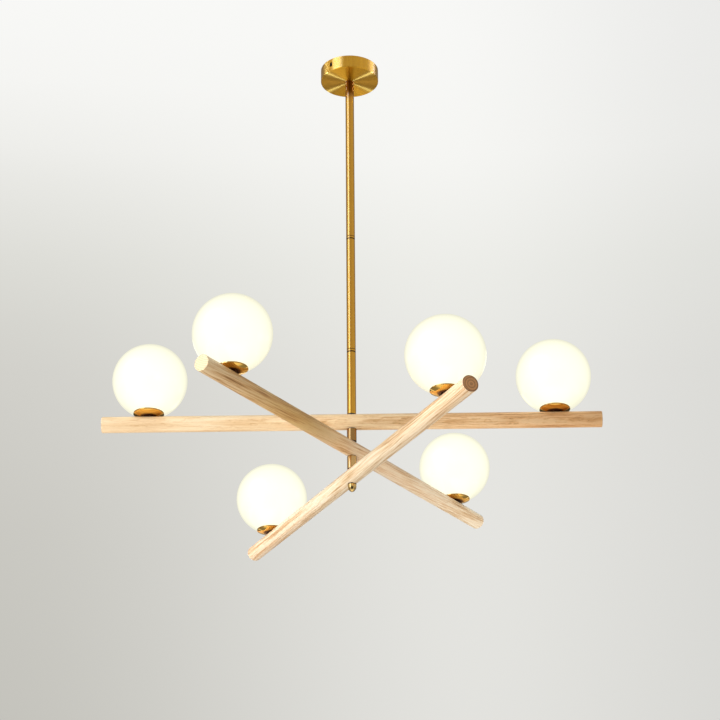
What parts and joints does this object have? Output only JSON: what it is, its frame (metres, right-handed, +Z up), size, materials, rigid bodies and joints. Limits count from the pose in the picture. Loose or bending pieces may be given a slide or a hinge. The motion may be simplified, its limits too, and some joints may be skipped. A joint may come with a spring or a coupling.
{
  "type": "chandelier",
  "caption": "Ceiling chandelier with crossed round wooden bars turning on a brass stem, and an opal glass globe in a brass cup near each bar end.",
  "frame": {"origin": "on the stem's axis in the ceiling plane, at the centre of the bracket's two screw holes", "axes": "+Z up into the ceiling, +X along the upper bar at rest, with the globes standing up on the bars"},
  "size_m": [0.99, 0.903, 0.9628],
  "materials": {
    "brass": "satin brushed, lacquered",
    "cup_brass": "polished, a little darker than the stem",
    "plain_brass": "turned, unlacquered",
    "steel": "zinc plated",
    "black_steel": "black oxide",
    "black_nylon": "matt black",
    "white_lead": "silicone sleeving",
    "earth_lead": "green sleeving with a yellow stripe",
    "white_plastic": "moulded nylon",
    "silicone": "translucent white silicone",
    "ceramic": "unglazed steatite",
    "oak": "natural oiled light oak",
    "opal_glass": "gloss opal, lit",
    "bulb": "frosted, lit"
  },
  "bodies": {
    "stem": {"ceiling_bracket": "steel", "earth_screw": "plain_brass", "earth_lead": "earth_lead", "terminal_block": "white_plastic", "terminal_screws": "plain_brass", "canopy": "brass", "canopy_side_screws": "black_steel", "top_nipple": "plain_brass", "canopy_washer": "steel", "canopy_nut": "plain_brass", "stem_upper": "brass", "stem_ring_upper": "brass", "stem_middle": "brass", "stem_ring_lower": "brass", "stem_lower": "brass", "stem_bushes": "plain_brass", "hub_rod": "plain_brass", "hub_washers": "black_nylon", "hub_spacers": "brass", "finial": "brass", "supply_leads": "white_lead"},
    "upper_bar": {"bar_upper": "oak", "groove_strips_upper": "oak", "lamp_leads_upper": "white_lead", "cup_nipples_upper": "plain_brass", "globe_clips_upper": "steel", "seat_rings_upper": "silicone", "lampholders_upper": "ceramic", "cup_upper_left": "cup_brass", "cup_upper_right": "cup_brass"},
    "middle_bar": {"bar_middle": "oak", "groove_strips_middle": "oak", "lamp_leads_middle": "white_lead", "cup_nipples_middle": "plain_brass", "globe_clips_middle": "steel", "seat_rings_middle": "silicone", "lampholders_middle": "ceramic", "cup_middle_left": "cup_brass", "cup_middle_right": "cup_brass"},
    "lower_bar": {"bar_lower": "oak", "groove_strips_lower": "oak", "lamp_leads_lower": "white_lead", "cup_nipples_lower": "plain_brass", "globe_clips_lower": "steel", "seat_rings_lower": "silicone", "lampholders_lower": "ceramic", "cup_lower_left": "cup_brass", "cup_lower_right": "cup_brass"},
    "upper_left_globe": {"globe_upper_left": "opal_glass"},
    "upper_left_bulb": {"bulb_upper_left": "bulb"},
    "upper_right_globe": {"globe_upper_right": "opal_glass"},
    "upper_right_bulb": {"bulb_upper_right": "bulb"},
    "middle_left_globe": {"globe_middle_left": "opal_glass"},
    "middle_left_bulb": {"bulb_middle_left": "bulb"},
    "middle_right_globe": {"globe_middle_right": "opal_glass"},
    "middle_right_bulb": {"bulb_middle_right": "bulb"},
    "lower_left_globe": {"globe_lower_left": "opal_glass"},
    "lower_left_bulb": {"bulb_lower_left": "bulb"},
    "lower_right_globe": {"globe_lower_right": "opal_glass"},
    "lower_right_bulb": {"bulb_lower_right": "bulb"}
  },
  "joints": [
    {"name": "upper_bar_swivel", "type": "hinge", "parent": "stem", "child": "upper_bar", "pos_m": [0, 0, -0.8153], "axis": [0, 0, 1], "range_deg": [-18, 18]},
    {"name": "middle_bar_swivel", "type": "hinge", "parent": "stem", "child": "middle_bar", "pos_m": [0, 0, -0.8734], "axis": [0, 0, 1], "range_deg": [-18, 18]},
    {"name": "lower_bar_swivel", "type": "hinge", "parent": "stem", "child": "lower_bar", "pos_m": [0, 0, -0.9315], "axis": [0, 0, 1], "range_deg": [-18, 18]},
    {"name": "upper_left_globe_lift", "type": "slide", "parent": "upper_bar", "child": "upper_left_globe", "axis": [0, 0, 1], "range_m": [0, 0.09]},
    {"name": "upper_left_bulb_pull", "type": "slide", "parent": "upper_bar", "child": "upper_left_bulb", "axis": [0, 0, 1], "range_m": [0, 0.03]},
    {"name": "upper_right_globe_lift", "type": "slide", "parent": "upper_bar", "child": "upper_right_globe", "axis": [0, 0, 1], "range_m": [0, 0.09]},
    {"name": "upper_right_bulb_pull", "type": "slide", "parent": "upper_bar", "child": "upper_right_bulb", "axis": [0, 0, 1], "range_m": [0, 0.03]},
    {"name": "middle_left_globe_lift", "type": "slide", "parent": "middle_bar", "child": "middle_left_globe", "axis": [0, 0, 1], "range_m": [0, 0.09]},
    {"name": "middle_left_bulb_pull", "type": "slide", "parent": "middle_bar", "child": "middle_left_bulb", "axis": [0, 0, 1], "range_m": [0, 0.03]},
    {"name": "middle_right_globe_lift", "type": "slide", "parent": "middle_bar", "child": "middle_right_globe", "axis": [0, 0, 1], "range_m": [0, 0.09]},
    {"name": "middle_right_bulb_pull", "type": "slide", "parent": "middle_bar", "child": "middle_right_bulb", "axis": [0, 0, 1], "range_m": [0, 0.03]},
    {"name": "lower_left_globe_lift", "type": "slide", "parent": "lower_bar", "child": "lower_left_globe", "axis": [0, 0, 1], "range_m": [0, 0.09]},
    {"name": "lower_left_bulb_pull", "type": "slide", "parent": "lower_bar", "child": "lower_left_bulb", "axis": [0, 0, 1], "range_m": [0, 0.03]},
    {"name": "lower_right_globe_lift", "type": "slide", "parent": "lower_bar", "child": "lower_right_globe", "axis": [0, 0, 1], "range_m": [0, 0.09]},
    {"name": "lower_right_bulb_pull", "type": "slide", "parent": "lower_bar", "child": "lower_right_bulb", "axis": [0, 0, 1], "range_m": [0, 0.03]}
  ]
}
